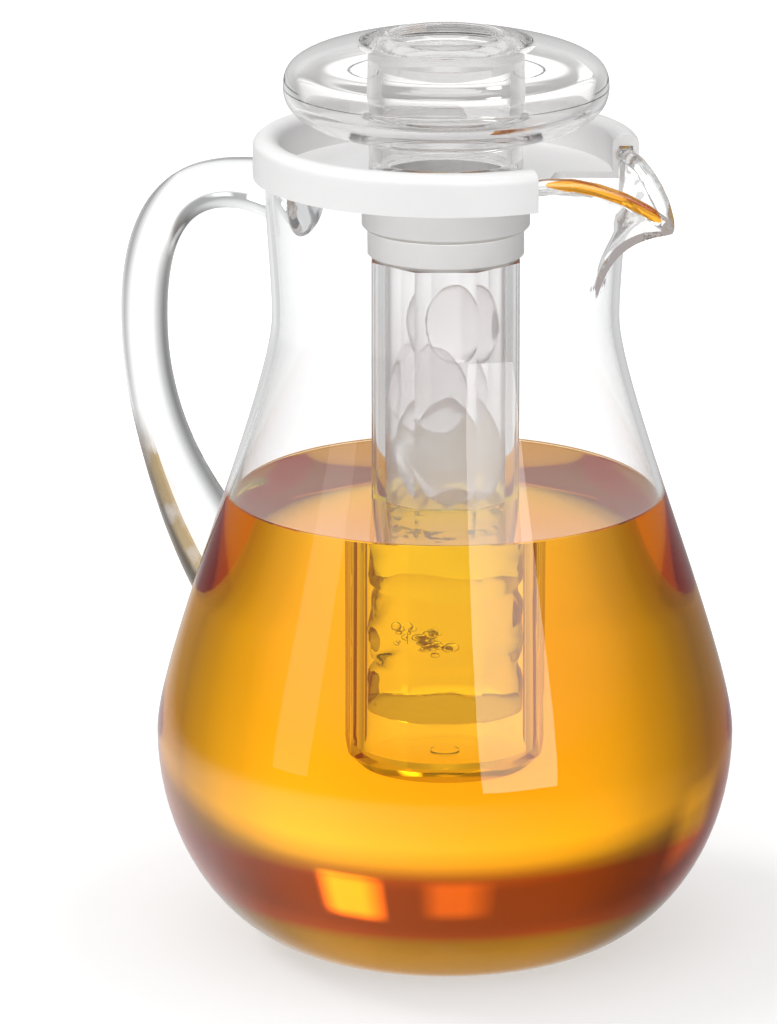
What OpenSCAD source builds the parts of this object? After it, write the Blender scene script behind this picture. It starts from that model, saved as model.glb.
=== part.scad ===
// Pitcher with ice core: a round clear jug with a spout and a loop handle, a white cover
// that hooks over its rim, an eight-sided ice tube screwed up into the cover, and a clear
// hollow disc knob that stoppers the tube. Millimetres, +Z up. The origin is the centre of
// the flat base. The spout points to +X and the handle to -X.

/* [Jug] */
// Diameter of the flat base
base_d = 100; // [90:1:110]
// Largest diameter of the belly
belly_d = 190; // [182:1:200]
// Height of the widest level
belly_z = 70; // [64:1:76]
// Diameter of the waist below the rim
waist_d = 113.2; // [112:0.2:114.4]
// Height of the waist
waist_z = 210; // [204:1:216]
// Outer diameter of the neck under the rim bead
neck_d = 117.8; // [117:0.2:118.6]
// Height of the jug's rim
rim_z = 266; // [262:0.2:270]
// Wall of the jug
jug_wall = 2.6; // [2:0.1:3.2]
// Thickness of the floor at its centre
floor_t = 4; // [3:0.5:6]
// Width of the rounded bead along the rim
bead_w = 4; // [3.2:0.2:4.4]

/* [Spout] */
// Reach of the spout beyond the neck
spout_reach = 27; // [22:1:32]
// Height from the foot of the spout's keel to the rim
spout_h = 42; // [36:1:46]
// Half of the angle that the spout takes of the rim
spout_half_angle = 33; // [28:1:36]
// Droop of the lip from the rim to the tip
lip_drop = 17; // [14:1:20]

/* [Handle] */
// Distance from the jug's axis to the outermost centre of the grip
grip_x = 117.4; // [112:1:124]
// Diameter of the grip at its middle
grip_d = 15.6; // [13:0.2:18]
// Height of the handle's upper root
top_root_z = 242; // [238:1:244]
// Height of the grip's outermost point
grip_z = 195; // [188:1:202]
// Height of the handle's lower root
low_root_z = 110; // [104:1:118]

/* [Cover] */
// Height of the hook over the rim, from the skirt's edge to the top
hook_h = 13.4; // [12:0.2:16]
// Thickness of the hook above the rim
hook_crown = 3.7; // [3.2:0.1:4.6]
// Wall of the hook's skirt and of its inner wall
hook_wall = 2; // [1.6:0.1:2.4]
// Depth from the hook's top to the dish floor
dish_depth = 12.2; // [10:0.2:14]
// Thickness of the dish floor
dish_t = 2.2; // [1.6:0.1:3]
// Radius of the inner edge of the pour opening
pour_in_r = 35; // [31:1:40]
// Outer diameter of the socket below the dish
socket_d = 54.8; // [54:0.2:57]
// Length of the socket below the dish
socket_h = 16; // [14:0.5:18]
// Diameter of the hole through the dish floor
port_d = 44.8; // [44.2:0.1:45.4]

/* [Ice tube] */
// Width of the eight-sided tube across its flats
tube_flats = 48; // [46.6:0.1:49]
// Diameter of the tube's bore
tube_bore = 43.2; // [42:0.1:43.6]
// Height of the tube's closed end above the table
tube_low_z = 59; // [45:1:70]
// Thickness of the tube's closed end
tube_floor_t = 3.5; // [2:0.5:6]
// Outer diameter of the white screw collar
collar_d = 51; // [50.2:0.2:52.6]
// Height of the collar's band below the socket
collar_h = 9.4; // [7:0.2:12]
// Travel of the thread for one turn
thread_lead = 8; // [6:1:10]
// Height of the soft washer above the tube
washer_h = 1.6; // [1.2:0.1:2]

/* [Knob] */
// Largest diameter of the disc
disc_d = 105.6; // [100:0.2:105.8]
// Height of the disc
disc_h = 32.8; // [30:0.2:36]
// Diameter of the knob's neck
stem_d = 50.2; // [48:0.2:52]
// Height of the neck between the dish and the disc
stem_h = 12.4; // [11:0.2:15]
// Wall of the knob
knob_wall = 4.4; // [3:0.2:5]
// Diameter of the recess in the disc's top
recess_d = 36.2; // [30:0.2:42]
// Depth of the recess
recess_depth = 6; // [4:0.5:8]
// Depth of the plug below the dish floor
plug_h = 12.6; // [10:0.2:14]

/* [Hidden] */

// Clearances
seat_gap = 0.3;
fit_gap = 0.35;
thread_gap = 0.08;
overrun = 1;

// Steps along the curved walls and round the handle
belly_steps = 9;
shoulder_steps = 12;
neck_steps = 4;
handle_steps = 12;
handle_sides = 20;
lip_sides = 10;
lip_steps = 7;
keel_steps = 6;
side_steps = 5;
corner_steps = 4;
pour_steps = 16;
hook_steps = 14;

// Lengths of the curve arms at the base, belly, waist and neck
base_arm = 22;
base_arm_rise = 4;
belly_arm_down = 38;
belly_arm_up = 24;
waist_arm_down = 24;
waist_arm_up = 14;
neck_arm = 20;
bead_h = 5;
bead_edge = 1.2;

rim_in_r = neck_d / 2 - jug_wall;
rim_r = rim_in_r + bead_w;
neck_top_z = rim_z - bead_h;

// Handle arms and widths, as shares of the grip's diameter
top_arm = 32;
top_arm_rise = 7;
bend_arm = 51;
grip_arm = 23;
low_arm_out = 28;
low_arm_up = 35;
root_inset = 4;
handle_width_shares = [
    1.62, 1.4, 1.22, 1.12, 1.07, 1.04, 1.03, 1.02, 1.01, 1, 1, 1, 1,
    1, 1, 1.01, 1.03, 1.06, 1.1, 1.17, 1.27, 1.4, 1.54, 1.68, 1.8
];

// Spout: arms of the keel's curve, and the lip as shares of its run and of its droop
keel_low_arm = 9;
keel_low_out = 4;
keel_high_arm = 22;
keel_high_drop = 4.4;
keel_rise_share = 0.625;
keel_high_steps = 3;
keel_round_share = 0.22;
lip_run_shares = [0, 0.17, 0.34, 0.51, 0.68, 0.84, 1];
lip_drop_shares = [0.17, 0.11, 0.13, 0.24, 0.42, 0.67, 1];
lip_bead_share = 0.95;
keel_back_share = 0.7;
keel_levels = 8;
keel_top = 2.4;

// Cover
hook_in_r = rim_in_r - fit_gap - hook_wall;
hook_out_r = rim_r + fit_gap + hook_wall;
hook_half_w = (hook_out_r - hook_in_r) / 2;
hook_mid_r = (hook_out_r + hook_in_r) / 2;
hook_round = 3.4;
hook_top_z = rim_z + seat_gap + hook_crown;
hook_low_z = hook_top_z - hook_h;
dish_z = hook_top_z - dish_depth;
dish_low_z = dish_z - dish_t;
socket_low_z = dish_low_z - socket_h;
socket_edge = 1.2;
skirt_gap_half_angle = 31;
pour_corner = 4;
port_r = port_d / 2;
socket_roof = 2;
socket_roof_z = dish_low_z - socket_roof;
thread_wall = 2.8;
thread_r = socket_d / 2 - thread_wall;

// Tube
washer_low_z = socket_roof_z - washer_h - seat_gap;
collar_low_z = socket_low_z - seat_gap - collar_h;
collar_edge = 1.4;
sleeve_wall = 1.5;
tube_neck_r = thread_r - thread_gap - sleeve_wall;
tube_edge = 3;
bore_edge_share = 0.8;
bore_edge = tube_edge * bore_edge_share;
bore_low_z = tube_low_z + tube_floor_t;
// Round mark in the middle of the closed end
gate_share = 0.2;
gate_r = tube_bore / 2 * gate_share;
gate_rise_share = 0.2;
gate_rise = tube_floor_t * gate_rise_share;
tube_sides = 8;
flat_turn = 31;

// Thread: a right-handed ridge on the sleeve and its groove in the socket
sleeve_r = thread_r - thread_gap;
ridge_h = 0.8;
ridge_root_w = 2.6;
ridge_crest_w = 1.2;
ridge_sink = 0.5;
ridge_gap = 0.35;
ridge_low_z = collar_low_z + collar_h + ridge_root_w;
ridge_rise = washer_low_z - ridge_root_w - ridge_low_z;
turn_steps = 36;

// Knob
knob_low_z = dish_z + seat_gap;
disc_low_z = knob_low_z + stem_h;
disc_top_z = disc_low_z + disc_h;
seam_rise = 15.6;
low_side_arm = 8.5;
low_fold_arm = 17.4;
low_fold_rise = 2.8;
top_side_arm = 9.5;
top_fold_arm = 26.9;
top_fold_drop = 6;
seam_z = disc_low_z + seam_rise;
plug_r = tube_bore / 2 - fit_gap;
stem_fillet = 3;
disc_steps = 9;
recess_edge = 1;

function bez(a, b, c, d, t) =
    a * pow(1 - t, 3) + 3 * b * t * pow(1 - t, 2) + 3 * c * t * t * (1 - t) + d * pow(t, 3);
function slope(a, b, c, d, t) =
    3 * (b - a) * pow(1 - t, 2) + 6 * (c - b) * t * (1 - t) + 3 * (d - c) * t * t;
function inward(v) = [-v[1], v[0]] / norm(v);
function curve(p, n, off = 0, first = 0) = [
    for (i = [first:n])
        bez(p[0], p[1], p[2], p[3], i / n) + off * inward(slope(p[0], p[1], p[2], p[3], i / n))
];
function mix(a, b, share) = a + (b - a) * share;

belly_curve = [
    [base_d / 2, 0],
    [base_d / 2 + base_arm, base_arm_rise],
    [belly_d / 2, belly_z - belly_arm_down],
    [belly_d / 2, belly_z]
];
shoulder_curve = [
    [belly_d / 2, belly_z],
    [belly_d / 2, belly_z + belly_arm_up],
    [waist_d / 2, waist_z - waist_arm_down],
    [waist_d / 2, waist_z]
];
neck_curve = [
    [waist_d / 2, waist_z],
    [waist_d / 2, waist_z + waist_arm_up],
    [neck_d / 2, neck_top_z - neck_arm],
    [neck_d / 2, neck_top_z]
];
outer_wall = concat(
    curve(belly_curve, belly_steps), curve(shoulder_curve, shoulder_steps, 0, 1),
    curve(neck_curve, neck_steps, 0, 1)
);
inner_wall = concat(
    curve(belly_curve, belly_steps, jug_wall, 1), curve(shoulder_curve, shoulder_steps, jug_wall, 1),
    curve(neck_curve, neck_steps, jug_wall, 1)
);

// The jug: a revolved shell with a beaded rim, opened into the spout.
module jug_outer() {
    rotate_extrude($fn = 96)
        polygon(concat(
            [[0, 0]], outer_wall,
            [
                [rim_r, neck_top_z + bead_edge],
                [rim_r, rim_z - bead_edge],
                [rim_r - bead_edge, rim_z],
                [0, rim_z]
            ]
        ));
}
module jug_inner() {
    rotate_extrude($fn = 96)
        polygon(concat(
            [[0, floor_t], [base_d / 2, floor_t]], [for (p = inner_wall) if (p[1] > floor_t) p],
            [
                [rim_in_r, rim_z - bead_edge],
                [rim_in_r + bead_edge, rim_z],
                [rim_in_r + bead_edge, rim_z + spout_h],
                [0, rim_z + spout_h]
            ]
        ));
}

// The spout: a keeled horn, whose side walls run straight from the neck to a rounded keel.
keel_foot_z = rim_z - spout_h;
keel_curve = [
    [waist_d / 2, keel_foot_z],
    [waist_d / 2 + keel_low_out, keel_foot_z + keel_low_arm],
    [neck_d / 2 + spout_reach - keel_high_arm, keel_foot_z + spout_h * keel_rise_share - keel_high_drop],
    [neck_d / 2 + spout_reach, keel_foot_z + spout_h * keel_rise_share]
];
keel_line = concat(
    curve(keel_curve, keel_levels),
    [for (i = [1:keel_high_steps])
        [
            neck_d / 2 + spout_reach,
            mix(keel_foot_z + spout_h * keel_rise_share, rim_z + keel_top, i / keel_high_steps)
        ]]
);
function keel_outline(level, inset) =
    let(
        rise = (keel_line[level][1] - keel_foot_z) / (spout_h - keel_top),
        side_r = mix(waist_d, neck_d, min(rise, 1)) / 2 - jug_wall / 2,
        half = max(spout_half_angle * min(rise, 1) - inset / side_r * 180 / PI, 0.5),
        side = [side_r * cos(half), side_r * sin(half)],
        tip = [keel_line[level][0] - inset, 0],
        bend = tip + (side - tip) * keel_round_share,
        turn = [2 * tip[0] - bend[0], 0]
    )
    concat(
        [[side[0] * keel_back_share, -side[1]]],
        [for (i = [0:side_steps - 1])
            [mix(side[0], bend[0], i / side_steps), -mix(side[1], bend[1], i / side_steps)]],
        [for (i = [0:keel_steps])
            let(t = i / keel_steps)
            [
                bend[0] * (pow(1 - t, 2) + t * t) + turn[0] * 2 * t * (1 - t),
                bend[1] * (t * t - pow(1 - t, 2))
            ]],
        [for (i = [side_steps - 1:-1:0])
            [mix(side[0], bend[0], i / side_steps), mix(side[1], bend[1], i / side_steps)]],
        [[side[0] * keel_back_share, side[1]]]
    );
module horn(inset, lift) {
    levels = len(keel_line);
    count = keel_steps + 2 * side_steps + 3;
    points = [
        for (k = [0:levels - 1])
            for (p = keel_outline(k, inset))
                [p[0], p[1], keel_line[k][1] + lift]
    ];
    sides = [
        for (k = [0:levels - 2])
            for (i = [0:count - 1])
                let(
                    j = (i + 1) % count, a = k * count + i, b = k * count + j,
                    c = (k + 1) * count + j, d = (k + 1) * count + i
                )
                each [[a, c, b], [a, d, c]]
    ];
    polyhedron(
        points,
        concat(
            sides, [[for (i = [0:count - 1]) i]],
            [[for (i = [count - 1:-1:0]) (levels - 1) * count + i]]
        ),
        convexity = 4
    );
}
lip_r = (neck_d - jug_wall) / 2 - jug_wall / 2;
lip_start = [lip_r * cos(spout_half_angle), lip_r * sin(spout_half_angle)];
lip_tip_x = neck_d / 2 + spout_reach - lip_bead_share * jug_wall;
function lip_point(k, way) = [
    mix(lip_start[0], lip_tip_x, lip_run_shares[k]),
    way * mix(lip_start[1], 0, lip_run_shares[k]),
    rim_z - lip_drop * lip_drop_shares[k]
];
lip_path = concat(
    [for (k = [0:lip_steps - 1]) lip_point(k, -1)], [for (k = [lip_steps - 2:-1:0]) lip_point(k, 1)]
);
module above_lip() {
    rotate([90, 0, 0])
        linear_extrude(height = rim_r * 2, center = true)
            polygon(concat(
                [for (k = [0:lip_steps - 1]) [lip_point(k, 1)[0], lip_point(k, 1)[2]]],
                [
                    [lip_tip_x + spout_reach, rim_z - lip_drop - spout_reach / 2],
                    [lip_tip_x + spout_reach, rim_z + spout_h], [lip_start[0], rim_z + spout_h]
                ]
            ));
}
function unit(v) = v / norm(v);
module tube_along(path, radii, sides) {
    last = len(path) - 1;
    points = [
        for (k = [0:last])
            let(
                ahead = unit(path[min(k + 1, last)] - path[max(k - 1, 0)]),
                across = unit(cross(ahead, [0, 0, 1])),
                up = cross(across, ahead)
            )
            for (i = [0:sides - 1])
                path[k] + radii[k] * (cos(360 * i / sides) * across + sin(360 * i / sides) * up)
    ];
    skin = [
        for (k = [0:last - 1])
            for (i = [0:sides - 1])
                let(
                    j = (i + 1) % sides, a = k * sides + i, b = k * sides + j,
                    c = (k + 1) * sides + j, d = (k + 1) * sides + i
                )
                each [[a, b, c], [a, c, d]]
    ];
    polyhedron(
        points,
        concat(skin, [[for (i = [sides - 1:-1:0]) i]], [[for (i = [0:sides - 1]) last * sides + i]]),
        convexity = 4
    );
}
module jug_body() {
    color([0.86, 0.92, 0.95, 0.35])
        difference() {
            union() {
                difference() {
                    union() {
                        jug_outer();
                        horn(0, 0);
                    }
                    above_lip();
                }
                tube_along(lip_path, [for (p = lip_path) lip_bead_share * jug_wall], lip_sides);
            }
            horn(jug_wall, jug_wall);
            jug_inner();
        }
}

// The handle: a round bar that leaves the neck, bends down and flares into the belly.
top_curve = [
    [-waist_d / 2 + root_inset, 0, top_root_z],
    [-waist_d / 2 + root_inset - top_arm, 0, top_root_z + top_arm_rise],
    [-grip_x, 0, grip_z + bend_arm],
    [-grip_x, 0, grip_z]
];
low_curve = [
    [-grip_x, 0, grip_z],
    [-grip_x, 0, grip_z - grip_arm],
    [-belly_d / 2 + root_inset * 3 - low_arm_out, 0, low_root_z + low_arm_up],
    [-belly_d / 2 + root_inset * 3, 0, low_root_z]
];
handle_path = concat(
    [for (i = [0:handle_steps]) bez(top_curve[0], top_curve[1], top_curve[2], top_curve[3], i / handle_steps)],
    [for (i = [1:handle_steps]) bez(low_curve[0], low_curve[1], low_curve[2], low_curve[3], i / handle_steps)]
);
module bar_along(path, radii, sides) {
    last = len(path) - 1;
    points = [
        for (k = [0:last])
            let(
                ahead = unit(path[min(k + 1, last)] - path[max(k - 1, 0)]), across = [0, 1, 0],
                up = cross(across, ahead)
            )
            for (i = [0:sides - 1])
                path[k] + radii[k] * (cos(360 * i / sides) * across + sin(360 * i / sides) * up)
    ];
    skin = [
        for (k = [0:last - 1])
            for (i = [0:sides - 1])
                let(
                    j = (i + 1) % sides, a = k * sides + i, b = k * sides + j,
                    c = (k + 1) * sides + j, d = (k + 1) * sides + i
                )
                each [[a, c, b], [a, d, c]]
    ];
    polyhedron(
        points,
        concat(skin, [[for (i = [0:sides - 1]) i]], [[for (i = [sides - 1:-1:0]) last * sides + i]]),
        convexity = 4
    );
}
module handle() {
    color([0.86, 0.92, 0.95, 0.35])
        difference() {
            bar_along(handle_path, handle_width_shares * grip_d / 2, handle_sides);
            jug_outer();
        }
}

// The cover: a dish hung in the neck from a rounded hook, with a screw socket below.
function pour_corner_arc(way) =
    let(
        mid_r = pour_in_r + pour_corner,
        edge = asin(pour_corner / mid_r),
        at = skirt_gap_half_angle - edge
    )
    [for (i = [0:corner_steps])
        let(turn = at + 180 - (90 - edge) * i / corner_steps)
        [
            mid_r * cos(at) + pour_corner * cos(turn),
            way * (mid_r * sin(at) + pour_corner * sin(turn))
        ]];
function reversed(list) = [for (i = [len(list) - 1:-1:0]) list[i]];
pour_edge = asin(pour_corner / (pour_in_r + pour_corner));
pour_arc_half = skirt_gap_half_angle - pour_edge;
pour_outline = concat(
    [2 * hook_out_r * [cos(skirt_gap_half_angle), -sin(skirt_gap_half_angle)]],
    reversed(pour_corner_arc(-1)),
    [for (i = [1:pour_steps - 1])
        let(a = pour_arc_half * (2 * i / pour_steps - 1))
        pour_in_r * [cos(a), sin(a)]],
    pour_corner_arc(1),
    [2 * hook_out_r * [cos(skirt_gap_half_angle), sin(skirt_gap_half_angle)]]
);
cover_profile = concat(
    [[port_r, dish_z], [hook_in_r, dish_z]],
    [for (i = [0:hook_steps])
        let(a = 180 - 180 * i / hook_steps)
        [hook_mid_r + hook_half_w * cos(a), hook_top_z - hook_round + hook_round * sin(a)]],
    [
        [hook_out_r, hook_low_z],
        [hook_out_r - hook_wall, hook_low_z],
        [hook_out_r - hook_wall, rim_z + seat_gap],
        [hook_in_r + hook_wall, rim_z + seat_gap],
        [hook_in_r + hook_wall, dish_low_z],
        [socket_d / 2, dish_low_z],
        [socket_d / 2, socket_low_z + socket_edge],
        [socket_d / 2 - socket_edge, socket_low_z],
        [thread_r, socket_low_z],
        [thread_r, socket_roof_z],
        [port_r, socket_roof_z]
    ]
);
module cover() {
    color([0.93, 0.93, 0.94])
        difference() {
            rotate_extrude($fn = 96)
                polygon(cover_profile);
            translate([0, 0, min(dish_low_z, hook_low_z) - overrun])
                linear_extrude(height = hook_top_z - min(dish_low_z, hook_low_z) + 2 * overrun)
                    polygon(pour_outline);
            thread(ridge_gap, socket_h);
        }
}

// One thread turns up round the sleeve. The groove in the socket is the same thread with a
// gap all round, carried on down through the socket's lower edge.
module thread(gap, below) {
    first = -ceil(below / thread_lead * turn_steps);
    last = floor(ridge_rise / thread_lead * turn_steps) + (gap > 0 ? 1 : 0);
    section = [
        [sleeve_r - ridge_sink, ridge_root_w / 2 + gap],
        [sleeve_r + ridge_h + gap, ridge_crest_w / 2 + gap],
        [sleeve_r + ridge_h + gap, -ridge_crest_w / 2 - gap],
        [sleeve_r - ridge_sink, -ridge_root_w / 2 - gap]
    ];
    corners = len(section);
    points = [
        for (k = [first:last])
            let(turn = 360 * k / turn_steps, rise = thread_lead * k / turn_steps)
            for (p = section)
                [p[0] * cos(turn), p[0] * sin(turn), ridge_low_z + rise + p[1]]
    ];
    skin = [
        for (k = [0:last - first - 1])
            for (i = [0:corners - 1])
                let(
                    j = (i + 1) % corners, a = k * corners + i, b = k * corners + j,
                    c = (k + 1) * corners + j, d = (k + 1) * corners + i
                )
                each [[a, c, b], [a, d, c]]
    ];
    polyhedron(
        points,
        concat(
            skin, [[for (i = [0:corners - 1]) i]],
            [[for (i = [corners - 1:-1:0]) (last - first) * corners + i]]
        ),
        convexity = 8
    );
}

// The ice tube: eight flats outside, a round bore, a round neck inside its collar.
module ice_tube() {
    color([0.86, 0.92, 0.95, 0.35])
        union() {
            difference() {
                union() {
                    intersection() {
                        translate([0, 0, tube_low_z])
                            rotate([0, 0, flat_turn + 180 / tube_sides])
                                cylinder(
                                    r = tube_flats / 2 / cos(180 / tube_sides),
                                    h = collar_low_z - tube_low_z, $fn = tube_sides
                                );
                        rotate_extrude($fn = 96)
                            polygon([
                                [0, tube_low_z],
                                [tube_flats / 2 - tube_edge, tube_low_z],
                                [tube_flats / 2 + tube_edge, tube_low_z + 2 * tube_edge],
                                [tube_flats / 2 + tube_edge, collar_low_z],
                                [0, collar_low_z]
                            ]);
                    }
                    cylinder_between(tube_neck_r, collar_low_z - overrun, washer_low_z);
                }
                rotate_extrude($fn = 96)
                    polygon([
                        [0, bore_low_z],
                        [tube_bore / 2 - bore_edge, bore_low_z],
                        [tube_bore / 2, bore_low_z + bore_edge],
                        [tube_bore / 2, washer_low_z + overrun],
                        [0, washer_low_z + overrun]
                    ]);
            }
            cylinder_between(gate_r, bore_low_z - overrun, bore_low_z + gate_rise);
        }
}
module cylinder_between(r, low, high) {
    translate([0, 0, low])
        cylinder(r = r, h = high - low, $fn = 96);
}

// The collar: a white band below the socket with the threaded sleeve above it.
module tube_collar() {
    color([0.93, 0.93, 0.94])
        union() {
            rotate_extrude($fn = 96)
                polygon([
                    [tube_neck_r, collar_low_z],
                    [collar_d / 2 - collar_edge, collar_low_z],
                    [collar_d / 2, collar_low_z + collar_edge],
                    [collar_d / 2, collar_low_z + collar_h],
                    [sleeve_r, collar_low_z + collar_h],
                    [sleeve_r, washer_low_z],
                    [tube_neck_r, washer_low_z]
                ]);
            thread(0, 0);
        }
}

// The soft washer that seals the tube's mouth against the socket's roof.
module tube_washer() {
    color([0.8, 0.82, 0.84])
        translate([0, 0, washer_low_z])
            difference() {
                cylinder(r = thread_r - fit_gap, h = washer_h, $fn = 96);
                translate([0, 0, -overrun])
                    cylinder(r = port_r, h = washer_h + 2 * overrun, $fn = 96);
            }
}

// The knob: two clear shells that meet in a seam at the disc's widest level. The stem's
// wall runs up through the hollow disc to the recess.
disc_r = disc_d / 2;
stem_r = stem_d / 2;
stem_in_r = stem_r - knob_wall;
plug_in_r = plug_r - knob_wall;
recess_low_z = disc_top_z - recess_depth - knob_wall;
low_side = [
    [stem_d / 2 + stem_fillet, disc_low_z],
    [stem_d / 2 + stem_fillet + low_fold_arm, disc_low_z + low_fold_rise],
    [disc_r, seam_z - low_side_arm],
    [disc_r, seam_z]
];
top_side = [
    [disc_r, seam_z],
    [disc_r, seam_z + top_side_arm],
    [recess_d / 2 + recess_edge + top_fold_arm, disc_top_z - top_fold_drop],
    [recess_d / 2 + recess_edge, disc_top_z]
];
module knob_base() {
    color([0.86, 0.92, 0.95, 0.35])
        difference() {
            rotate_extrude($fn = 96)
                polygon(concat(
                    [
                        [0, dish_z - plug_h], [plug_r, dish_z - plug_h], [plug_r, knob_low_z],
                        [stem_r, knob_low_z], [stem_r, disc_low_z - stem_fillet]
                    ],
                    curve(low_side, disc_steps), [[0, seam_z]]
                ));
            rotate_extrude($fn = 96)
                polygon(concat(
                    [[stem_r, disc_low_z + knob_wall]],
                    curve(low_side, disc_steps, knob_wall), [[disc_r - knob_wall, seam_z + overrun]],
                    [[stem_r, seam_z + overrun]]
                ));
            rotate_extrude($fn = 96)
                polygon([
                    [0, dish_z - plug_h + knob_wall],
                    [plug_in_r, dish_z - plug_h + knob_wall],
                    [plug_in_r, knob_low_z],
                    [stem_in_r, knob_low_z + knob_wall],
                    [stem_in_r, seam_z + overrun],
                    [0, seam_z + overrun]
                ]);
        }
}
module knob_top() {
    color([0.86, 0.92, 0.95, 0.35])
        difference() {
            rotate_extrude($fn = 96)
                polygon(concat(
                    [[0, seam_z]], curve(top_side, disc_steps),
                    [
                        [recess_d / 2, disc_top_z - recess_edge],
                        [recess_d / 2, disc_top_z - recess_depth],
                        [0, disc_top_z - recess_depth]
                    ]
                ));
            rotate_extrude($fn = 96)
                polygon(concat(
                    [[stem_r, seam_z - overrun], [disc_r - knob_wall, seam_z - overrun]],
                    [for (p = curve(top_side, disc_steps, knob_wall)) if (p[0] > stem_r) p],
                    [[stem_r, disc_top_z - knob_wall]]
                ));
            cylinder_between(stem_in_r, seam_z - overrun, recess_low_z);
        }
}

jug_body();
handle();
cover();
ice_tube();
tube_collar();
tube_washer();
knob_base();
knob_top();
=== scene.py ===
"""Clear pitcher with a white cover, an ice tube and a disc knob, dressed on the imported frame."""

import math
import random

import bmesh
import bpy
import numpy as np
from mathutils import Euler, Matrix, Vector


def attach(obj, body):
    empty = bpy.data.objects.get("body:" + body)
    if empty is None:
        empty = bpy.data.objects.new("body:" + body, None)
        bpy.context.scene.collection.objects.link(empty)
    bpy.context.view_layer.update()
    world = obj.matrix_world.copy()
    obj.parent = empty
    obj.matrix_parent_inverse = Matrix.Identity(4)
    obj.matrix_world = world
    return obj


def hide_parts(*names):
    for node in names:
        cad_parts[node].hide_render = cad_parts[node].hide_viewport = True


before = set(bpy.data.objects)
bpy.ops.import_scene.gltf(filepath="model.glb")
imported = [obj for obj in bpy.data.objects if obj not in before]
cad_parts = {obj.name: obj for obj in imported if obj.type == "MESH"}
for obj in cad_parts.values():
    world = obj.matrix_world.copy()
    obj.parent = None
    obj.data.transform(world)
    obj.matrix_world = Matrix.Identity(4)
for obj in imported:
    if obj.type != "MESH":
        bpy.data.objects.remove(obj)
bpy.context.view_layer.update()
MM = 0.001

# Camera: azimuth from the spout's plane, fitted to the photograph
CAM_AZIMUTH = math.radians(31)
CAM_DISTANCE = 2.4
CAM_HEIGHT = 0.79465
CAM_PITCH = 0.265
FOCAL_PX, PHOTO_WIDTH_PX, AXIS_SHIFT_PX, SENSOR_MM = 7580.9, 777, 58.8, 36
CAM_YAW = math.atan(AXIS_SHIFT_PX / FOCAL_PX)
CAM_LENS = SENSOR_MM * FOCAL_PX / PHOTO_WIDTH_PX

# Jug, in millimetres as in the CAD
BASE_R, BELLY_R, BELLY_Z = 50.0, 95.0, 70.0
WAIST_R, WAIST_Z, NECK_R, RIM_Z = 56.6, 210.0, 58.9, 266.0
WALL, FLOOR_T, BEAD_H = 2.6, 4.0, 5.0
NECK_TOP_Z = RIM_Z - BEAD_H
RIM_IN_R = NECK_R - WALL
SPOUT_REACH, SPOUT_H, SPOUT_HALF, LIP_DROP = 27.0, 42.0, 33.0, 17.0
DRINK_Z = 150.5
BORE_R, MELT_Z = 21.6, 147.0

# Tube's faces beyond this radius or under this height are its outer ones, in metres
TUBE_SKIN_R, TUBE_SKIN_Z = 0.0226, 0.0605
# Ray depth from which a ray counts as trapped in plastic
TRAPPED_DEPTH = 15.5
# Azimuth in degrees of the tube's corner next to the camera's direction
CORNER_TURN = 31 + 22.5
CLEAR_TINT = (0.985, 0.99, 0.992)
TUBE_TINT = (0.99, 0.992, 0.995)
# Left side of the camera's first view, fixed to the handle: the side that gets the handle's painted amber
# refraction of the drink
STREAK_SIDE = (-0.857, -0.515, 0)


def bezier(points, count, start=0.0, end=1.0):
    """Points along a cubic with their unit normals pointing inward."""
    p = [np.array(q, float) for q in points]
    out, normals = [], []
    for i in range(count + 1):
        t = start + (end - start) * i / count
        u = 1 - t
        out.append(p[0] * u**3 + 3 * p[1] * t * u * u + 3 * p[2] * t * t * u + p[3] * t**3)
        d = 3 * (p[1] - p[0]) * u * u + 6 * (p[2] - p[1]) * t * u + 3 * (p[3] - p[2]) * t * t
        d /= np.linalg.norm(d)
        normals.append(np.array([-d[1], d[0]]))
    return np.array(out), np.array(normals)


BELLY_CURVE = [(BASE_R, 0), (BASE_R + 22, 4), (BELLY_R, BELLY_Z - 38), (BELLY_R, BELLY_Z)]
SHOULDER_CURVE = [(BELLY_R, BELLY_Z), (BELLY_R, BELLY_Z + 24), (WAIST_R, WAIST_Z - 24), (WAIST_R, WAIST_Z)]
NECK_CURVE = [(WAIST_R, WAIST_Z), (WAIST_R, WAIST_Z + 14), (NECK_R, NECK_TOP_Z - 20), (NECK_R, NECK_TOP_Z)]


def wall_line(offset=0.0, steps=(22, 30, 14)):
    """The jug's outer profile, moved inward by offset, as rows of radius and height."""
    rows = []
    for k, (c, n) in enumerate(zip((BELLY_CURVE, SHOULDER_CURVE, NECK_CURVE), steps)):
        p, normal = bezier(c, n)
        q = p + offset * normal
        rows.extend(q[(1 if k else 0):])
    return np.array(rows)


OUTER = wall_line()
INNER = wall_line(WALL)


def radius_at(line, z):
    return float(np.interp(z, line[:, 1], line[:, 0]))


def circle(r, z, sides):
    angles = [2 * math.pi * i / sides for i in range(sides)]
    return [(r * math.cos(a), r * math.sin(a), z) for a in angles]


def bridge(faces, a, b):
    """Adds the four-sided faces between two rings of vertices."""
    for i in range(len(a)):
        j = (i + 1) % len(a)
        faces.append((a[i], a[j], b[j], b[i]))


def ring_ids(k, sides):
    return list(range(k * sides, (k + 1) * sides))


# Object helpers
def add_object(name, mesh, body):
    obj = bpy.data.objects.new(name, mesh)
    bpy.context.scene.collection.objects.link(obj)
    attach(obj, body)
    return obj


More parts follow.
